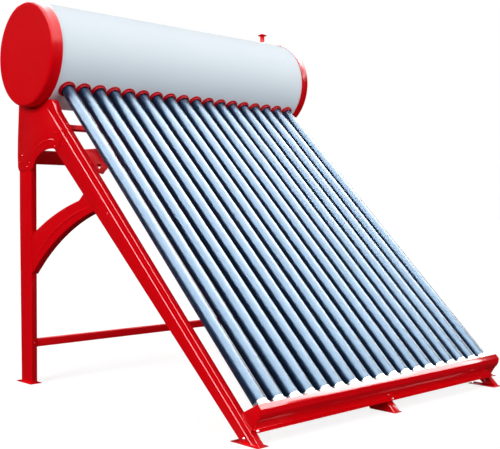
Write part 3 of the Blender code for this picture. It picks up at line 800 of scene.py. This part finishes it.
def build_ports():
    """Threaded pipe stubs behind the tank, each in a bush with a hexagon behind its thread."""
    profile = [(0.0100, 0.106), (0.0132, 0.106), (0.0132, 0.2050)]
    turns = 8
    for i in range(turns):
        start = 0.2060 + i * 0.0028
        profile += [(0.0126, start), (0.0132, start + 0.0010), (0.0132, start + 0.0014)]
    profile += [(0.0124, 0.2290), (0.0118, 0.2299), (0.0106, 0.2299), (0.0100, 0.2290)]
    pipe = turned("port_pipe", profile, 40, closed=True)
    collar = [(0.0133, 0.1965), (0.0170, 0.1965), (0.0176, 0.1971), (0.0176, 0.2024),
              (0.0168, 0.2032), (0.0133, 0.2032)]
    hexagon = turned("port_hexagon", collar, 6, closed=True)
    for name, side, word in (("cold_water_inlet", -1, "cold"), ("hot_water_outlet", 1, "hot")):
        turn = Matrix.Rotation(-math.pi / 2, 4, "X")
        place = Matrix.Translation((side * PORT_X, TANK_AXIS_Y, TANK_AXIS_Z - PORT_DROP)) @ turn
        piece(f"{word}_water_pipe", pipe, METAL, matrix=place, stands_for=name)
        piece(f"{word}_water_hexagon", hexagon, METAL, matrix=place, sharp=25)
        bush = turned(f"{word}_water_bush", [
            (0.0134, 0.1700), (0.0134, 0.1962), (0.0200, 0.1962), (0.0214, 0.1950), (0.0220, 0.1925),
            (0.0222, 0.1760), (0.0150, 0.1700)], 40, closed=True)
        piece(f"{word}_water_bush", bush, SILICONE, matrix=place, sharp=50)


# --- Legs ---
def front_leg_section(side, along):
    """The front leg's folded line at this distance down the slope."""
    corner = blend(LEG_CORNER, along)
    section = ((LEG_LIP_X, corner), (BAND_X, corner), (BAND_X, blend(LEG_BAND_END, along)),
               (WEB_X, blend(LEG_STEP_END, along)), (WEB_X, blend(LEG_REAR, along)))
    return rounded([slope_point(side * x, along, above) for x, above in section], 0.0010)


def build_feet(name, side, low_x, high_x, front, back, holes):
    """A foot plate, with a bolt down into the ground at each hole place."""
    xs = sorted((side * low_x, side * high_x))
    low = (xs[0], TANK_AXIS_Y + front, 0.0)
    high = (xs[1], TANK_AXIS_Y + back, FOOT_PLATE)
    piece(name, block_mesh(name, low, high, PLATE_EDGE), RED)
    places = [(side_point(side * x, behind, FOOT_PLATE), (0, 0, 1)) for x, behind in holes]
    bolts(f"{name}_bolts", places, 0.8, 0.0)


def build_legs():
    for word, side in SIDES:
        steps = 10
        span = LEG_END_ALONG - LEG_TOP_ALONG
        stations = [front_leg_section(side, LEG_TOP_ALONG + span * i / steps) for i in range(steps + 1)]
        name = f"front_leg_channel_{word}"
        piece(name, sheet_mesh(name, stations, floor=FLOOR_CUT), RED, stands_for=f"front_leg_{word}")
        build_feet(f"front_foot_{word}", side, 0.7000, 0.7500, -FRONT_REACH, -1.300, [(0.7080, -1.316)])

        stations = []
        for back, height in ((REAR_LEG_BACK, REAR_LEG_TOP), (REAR_LEG_BACK, 0.900), (REAR_LEG_BACK, 0.740),
                             (REAR_LEG_TOE_BACK, -0.010)):
            section = ((LEG_LIP_X, REAR_LEG_FRONT), (WEB_X, REAR_LEG_FRONT), (WEB_X, back),
                       (LEG_LIP_X, back))
            stations.append(rounded([side_point(side * x, behind, height) for x, behind in section]))
        name = f"rear_leg_channel_{word}"
        piece(name, sheet_mesh(name, stations, floor=FLOOR_CUT), RED, stands_for=f"rear_leg_{word}")
        build_feet(f"rear_foot_{word}", side, 0.6950, 0.7510, 0.032, 0.160,
                   [(0.7180, 0.060), (0.7180, 0.148)])


def bracket_outline():
    """The saddle bracket in the side view: it straddles both legs over an arched gap."""
    axis = (TANK_AXIS_Y, TANK_AXIS_Z)
    outline = arc(axis, SADDLE_R, math.radians(-55), math.radians(-111.2), 28)
    outline += slope_outline((along, HOOD_EDGE) for along in (0.260, 0.340, 0.433))
    arch = [(-0.186, 1.036), (-0.171, 1.0455), (-0.138, 1.049), (-0.096, 1.045), (-0.052, 1.033),
            (-0.017, 1.013), (0.003, 0.990)]
    outline += [(TANK_AXIS_Y + y, z) for y, z in smooth_path(arch)]
    rear = [(0.014, 0.9740), (0.026, 0.9630), (0.041, 0.9600), (0.132, 0.9600), (0.138, 0.9625),
            (0.1475, 0.9800), (0.1500, 1.0320), (0.1480, 1.1000), (0.1410, 1.1980)]
    outline += [(TANK_AXIS_Y + y, z) for y, z in rear]
    return outline


def hood_mesh(name, side):
    """The bracket's front edge, folded over the top of the leg: a round nose, then the leg's lines."""
    stations = []
    for edge, along, above, band in HOOD_LINES:
        fold = (edge + (along - edge) * 0.2, HOOD_EDGE + 0.0022)
        round_nose = band > WEB_X + 0.0005
        bend = 0.0035 if round_nose else 0.0012
        points = [
            slope_point(side * BRACKET_X, edge, HOOD_EDGE),
            slope_point(side * band, *fold),
            slope_point(side * band, along, above),
            slope_point(side * (LEG_LIP_X - 0.0005), along, above),
        ]
        stations.append(rounded(points, bend))
    return sheet_mesh(name, stations, HOOD_SHEET)


def saddle_flange(name, side):
    """The curved shelf that the tank lies on, stepped outwards to clear the cap's rim."""
    shelf = CASING_R + 0.0014
    step_x = 0.7385
    profile = [(0.7000, shelf), (step_x, shelf), (step_x, SADDLE_R), (BRACKET_X, SADDLE_R)]
    stations = []
    steps = 40
    for i in range(steps + 1):
        angle = math.radians(-55 - 62.0 * i / steps)
        stations.append(rounded([around_tank(side * x, r, angle) for x, r in profile], 0.0012, 2))
    return sheet_mesh(name, stations, edge=0.0003)


def build_brackets():
    for word, side in SIDES:
        name = f"saddle_plate_{word}"
        plate = outline_mesh(name, bracket_outline(), side * BRACKET_X)
        mesh = joined(name, [plate, hood_mesh("hood", side), saddle_flange("shelf", side)])
        piece(name, mesh, RED, stands_for=f"saddle_bracket_{word}")

        arch = [(0.027, 0.988), (0.019, 1.016), (0.001, 1.045), (-0.035, 1.066), (-0.074, 1.079),
                (-0.117, 1.085), (-0.159, 1.081), (-0.192, 1.066)]
        path = smooth_path([(TANK_AXIS_Y + y, z) for y, z in arch])
        x = side * (BRACKET_X + SHEET / 2 - RIB_SINK)
        name = f"saddle_rib_{word}"
        piece(name, rib_mesh(name, path, side, x, 0.012, 0.0016), RED, sharp=60)


def brace_edge(centre, radius, behind):
    """The height of one of the brace's curved edges, this far behind the tank axis."""
    return centre[1] + math.sqrt(radius ** 2 - (behind - centre[0]) ** 2)


def build_braces():
    """Curved plates between the legs, flanged along the lower edge and ribbed along the middle."""
    steps = 40
    brace_rear = 0.0345
    for word, side in SIDES:
        stations = []
        for i in range(steps + 1):
            share = i / steps
            high = brace_rear + (-0.452 - brace_rear) * share
            low = brace_rear + (-0.480 - brace_rear) * share
            top = brace_edge((-0.665, -0.552), 1.410, high)
            top += 0.022 * min(max((-0.350 - high) / 0.036, 0.0), 1.0)
            bottom = brace_edge((-0.768, -0.343), 1.163, low)
            section = ((BRACE_X - 0.010, high, top - 0.0005), (BRACE_X, high, top), (BRACE_X, low, bottom),
                       (BRACE_X - 0.030, low, bottom - 0.002))
            stations.append(rounded([side_point(side * x, y, z) for x, y, z in section], 0.003))
        name = f"curved_brace_sheet_{word}"
        mesh = sheet_mesh(name, stations)
        xs = sorted((side * 0.7385, side * 0.7170))
        tab = block_mesh("tab", (xs[0], TANK_AXIS_Y + 0.0330, 0.520),
                         (xs[1], TANK_AXIS_Y + 0.0362, 0.655), 0.0005)
        piece(name, joined(name, [mesh, tab]), RED, stands_for=f"curved_brace_{word}")

        centre = (TANK_AXIS_Y - 0.595, -0.072)
        start = math.atan2(0.545 + 0.072, 0.032 + 0.595)
        end = math.atan2(0.800 + 0.072, -0.442 + 0.595)
        path = arc(centre, 0.881, start, end, 30)
        x = side * (BRACE_X + SHEET / 2 - RIB_SINK)
        name = f"curved_brace_rib_{word}"
        piece(name, rib_mesh(name, path, side, x, 0.014, 0.0034), RED, sharp=60)


def bar(name, half, points, node):
    """A level folded bar along X."""
    stations = [rounded([Vector((x, *p)) for p in points], SMALL_BEND_R) for x in (-half, 0, half)]
    piece(name, sheet_mesh(name, stations), RED_DULL, stands_for=node)


def build_crossbars():
    half = WEB_X - SHEET / 2 - GAP
    front = TANK_AXIS_Y + REAR_LEG_FRONT + SHEET + GAP
    for word, low, high, depth in (("upper", 0.992, 1.052, 0.030), ("lower", 0.167, 0.201, 0.024)):
        points = [(front + depth, high), (front, high), (front, low), (front + depth, low)]
        bar(f"rear_bar_{word}", half, points, f"rear_crossbar_{word}")
    section = slope_outline(((0.384, -0.0860), (0.384, -0.0740), (0.414, -0.0740), (0.414, -0.0860)))
    bar("front_bar_upper", BAND_X - SHEET / 2 - GAP, section, "front_crossbar_upper")


def strap(name, start, end):
    """A straight angle strap between two points, standing upright."""
    width, lip = 0.024, 0.006
    along = (end - start).normalized()
    across = Vector((0, 0, 1))
    across = (across - along * across.dot(along)).normalized()
    inward = along.cross(across).normalized()
    stations = []
    for share in (0.0, 0.5, 1.0):
        point = start.lerp(end, share)
        low = point - across * width / 2
        high = point + across * width / 2
        stations.append(rounded([high, low, low + inward * lip], 0.0020, 3))
    piece(name, sheet_mesh(name, stations), RED_DULL)


def gusset_mesh(name, side):
    """A plate with a triangular hole under the front leg's flange, folded down along one edge."""
    above, fold = -0.0646, 0.012
    outside = ((0.7160, 0.556), (0.6520, 0.547), (0.6520, 0.668), (0.6940, 0.708), (0.7160, 0.702))
    hole = ((0.6970, 0.647), (0.6690, 0.645), (0.6980, 0.677))
    bm = bmesh.new()
    a, b, c, d, e = [bm.verts.new(slope_point(side * x, along, above)) for x, along in outside]
    h, i, j = [bm.verts.new(slope_point(side * x, along, above)) for x, along in hole]
    low = [bm.verts.new(slope_point(side * x, along, above - fold)) for x, along in outside[1:3]]
    for face in ((a, b, i, h), (b, c, i), (c, d, j, i), (d, e, j), (e, a, h, j), (c, b, *low)):
        bm.faces.new(face)
    bmesh.ops.recalc_face_normals(bm, faces=bm.faces)
    return thickened(name, new_mesh(name, bm), 0.0016, 0.0003)


def build_straps():
    """On each side a gusset under the front leg, and a strap from it to the upper rear bar."""
    for word, side in SIDES:
        name = f"knee_gusset_{word}"
        piece(name, gusset_mesh(name, side), RED_DULL)
        strap(f"knee_strap_{word}", slope_point(side * 0.7060, 0.615, -0.0860),
              side_point(side * 0.455, 0.0390, 1.040))


# --- Tail rail ---
def build_rail():
    hem = (1.9432, 0.0372)
    stations = []
    for x in (-RAIL_HALF, -0.4, 0.0, 0.4, RAIL_HALF):
        stations.append(rounded([slope_point(x, *point) for point in (hem, *RAIL_PROFILE)], SMALL_BEND_R))
    mesh = sheet_mesh("tail_rail_channel", stations)
    outline = slope_outline(RAIL_PROFILE[:-1] + RAIL_END_BACK)
    plates = [outline_mesh("rail_end", outline, side * (RAIL_HALF - SHEET / 2)) for side in (-1, 1)]
    piece("tail_rail_channel", joined("tail_rail_channel", [mesh, *plates]), RED, stands_for="tail_rail")


def build_middle_foot():
    web_x, lip_x = -0.015, 0.019
    stations = []
    for along in (1.932, 2.000, 2.060, 2.120):
        stations.append(rounded([slope_point(lip_x, along, -0.0520), slope_point(web_x, along, -0.0520),
                                 slope_point(web_x, along, -0.1350)]))
    mesh = sheet_mesh("middle_foot_angle", stations, floor=FLOOR_CUT)
    low = (web_x - SHEET / 2, TANK_AXIS_Y - FRONT_REACH, 0.0)
    high = (lip_x + 0.006, TANK_AXIS_Y - 1.310, FOOT_PLATE)
    plate = block_mesh("plate", low, high, PLATE_EDGE)
    piece("middle_foot_angle", joined("middle_foot_angle", [mesh, plate]), RED, stands_for="middle_foot")


def build_fasteners():
    out_x = BRACKET_X + SHEET / 2
    band_x = BAND_X + SHEET / 2
    for word, side in SIDES:
        places = []
        for behind, height in ((0.107, 1.028), (0.131, 0.999), (0.043, 0.995), (0.064, 0.975),
                               (-0.175, 1.114), (-0.176, 1.056)):
            places.append((side_point(side * out_x, behind, height), (side, 0, 0)))
        bolts(f"saddle_bolts_{word}", places, finish=RED)

        web_x = WEB_X + SHEET / 2
        places = [(side_point(side * (band_x + 0.0024), -0.224, 1.126), (side, 0, 0)),
                  (side_point(side * web_x, -0.566, 0.768), (side, 0, 0))]
        for along, lift in ((0.399, 0.0024), (0.640, 0.0)):
            seat = blend(LEG_CORNER, along) + SHEET / 2 + lift
            places.append((slope_point(side * 0.7240, along, seat), SLOPE_NORMAL))
        for height in (1.010, 1.036, 0.184):
            places.append((side_point(side * 0.7270, REAR_LEG_FRONT - SHEET / 2, height), (0, -1, 0)))
        for height in (0.555, 0.620):
            places.append((side_point(side * 0.7270, 0.0330, height), (0, -1, 0)))
        bolts(f"leg_bolts_{word}", places, finish=RED)

        places = [(slope_point(side * 0.7280, 1.936, blend(LEG_CORNER, 1.936) + SHEET / 2),
                   SLOPE_NORMAL),
                  (slope_point(side * 0.7270, 2.001, -0.0310), SLOPE_NORMAL),
                  (slope_point(side * web_x, 1.988, -0.0880), (side, 0, 0))]
        bolts(f"rail_bolts_{word}", places)
    places = [(slope_point(0.002, 1.999, -0.0330), SLOPE_NORMAL)]
    bolts("middle_foot_bolts", places)


# --- Stage ---
def build_camera():
    data = bpy.data.cameras.new("camera")
    data.lens = 63.1
    data.sensor_width = 36.0
    data.clip_end = 200.0
    camera = linked("camera", data)
    camera.location = (-2.7316, -2.8887, 0.7818)
    camera.rotation_euler = (math.radians(89.079), 0, math.radians(-43.449))
    bpy.context.scene.camera = camera


def panel(name, place, size, watts, colour=(1.0, 1.0, 1.0)):
    """A large softbox facing down, seen only in reflections and through glass."""
    data = bpy.data.lights.new(name, "AREA")
    data.shape = "RECTANGLE"
    data.size, data.size_y = size
    data.energy = watts
    data.color = colour
    light = linked(name, data)
    light.matrix_world = facing(place, (0, 0, 1))
    light.visible_camera = False
    light.visible_diffuse = False


def sun(name, towards, strength, spread, colour):
    """Broad, even light from this direction, without a highlight of its own."""
    data = bpy.data.lights.new(name, "SUN")
    data.energy = strength
    data.angle = math.radians(spread)
    data.color = colour
    light = linked(name, data)
    light.matrix_world = facing((0, 0, 5), towards)
    light.visible_glossy = False


def build_world():
    """White behind the object, and for light a sky that is dim at the horizon."""
    world = bpy.data.worlds.new("studio")
    world.use_nodes = True
    nodes, links = world.node_tree.nodes, world.node_tree.links
    background = nodes["Background"]
    place = nodes.new("ShaderNodeTexCoord")
    split = nodes.new("ShaderNodeSeparateXYZ")
    ramp = nodes.new("ShaderNodeValToRGB")
    ramp.color_ramp.elements[0].position = 0.30
    ramp.color_ramp.elements[0].color = (0.012, 0.012, 0.012, 1)
    ramp.color_ramp.elements[1].position = 0.85
    ramp.color_ramp.elements[1].color = (0.22, 0.23, 0.24, 1)
    middle = ramp.color_ramp.elements.new(0.62)
    middle.color = (0.012, 0.012, 0.014, 1)
    lift = nodes.new("ShaderNodeMapRange")
    lift.inputs["From Min"].default_value = -1
    path = nodes.new("ShaderNodeLightPath")
    mix = nodes.new("ShaderNodeMix")
    mix.data_type = "RGBA"
    mix.inputs["B"].default_value = (1.0, 1.0, 1.0, 1)
    links.new(place.outputs["Generated"], split.inputs["Vector"])
    links.new(split.outputs["Z"], lift.inputs["Value"])
    links.new(lift.outputs["Result"], ramp.inputs["Fac"])
    links.new(ramp.outputs["Color"], mix.inputs["A"])
    links.new(path.outputs["Is Camera Ray"], mix.inputs["Factor"])
    links.new(mix.outputs["Result"], background.inputs["Color"])
    bpy.context.scene.world = world


def build_floor():
    """A plain pale floor that fades into the white behind it."""
    bm = bmesh.new()
    bmesh.ops.create_circle(bm, cap_ends=True, segments=64, radius=60)
    floor = linked("floor", new_mesh("floor", bm))
    floor.location.z = -0.0005
    surface = Shader("pale_floor", (0.34, 0.34, 0.34), 0.9)
    surface.set("Specular IOR Level", 0.0)
    surface.set("Emission Color", (1, 1, 1, 1))
    surface.set("Emission Strength", 0.76)
    floor.data.materials.append(surface.material)
    floor.visible_diffuse = False
    floor.visible_glossy = False
    floor.visible_shadow = False


def build_stage():
    bpy.context.scene.view_settings.view_transform = "Standard"
    build_camera()
    build_world()
    build_floor()
    panel("softbox_left", (-3.4, 0.0, 4.2), (6.0, 12.0), 3500, (0.96, 0.98, 1.0))
    panel("softbox_middle", (0.9, 0.0, 4.2), (2.6, 12.0), 1550)
    panel("softbox_right", (3.9, 1.75, 4.2), (3.4, 8.5), 1600)
    panel("softbox_far_right", (7.8, 2.5, 4.2), (4.4, 7.0), 290)
    panel("softbox_far_front", (8.2, -1.9, 4.2), (5.2, 1.8), 290)
    sun("key", (-0.87, -0.20, 0.40), 3.1, 35, (1.0, 0.95, 0.92))
    sun("front", (0.10, -0.94, 0.27), 1.9, 50, (0.93, 0.975, 1.0))
    sun("right", (0.96, 0.10, 0.14), 1.7, 50, (1.0, 0.96, 0.94))
    sun("back", (0.15, 0.97, 0.14), 2.0, 60, (1.0, 0.96, 0.94))
    sun("bounce", (0.0, -0.4, -1.0), 0.40, 120, (0.85, 0.94, 1.0))


build_stage()
build_casing()
build_end_caps()
build_seam()
build_tubes()
build_dust_rings()
build_cups()
build_vent()
build_ports()
build_legs()
build_brackets()
build_braces()
build_crossbars()
build_straps()
build_rail()
build_middle_foot()
build_fasteners()

for node, (material, _) in (("insulation_foam", FOAM), ("inner_tank", METAL)):
    for holder in frame["nodes"][node].material_slots:
        holder.material = material
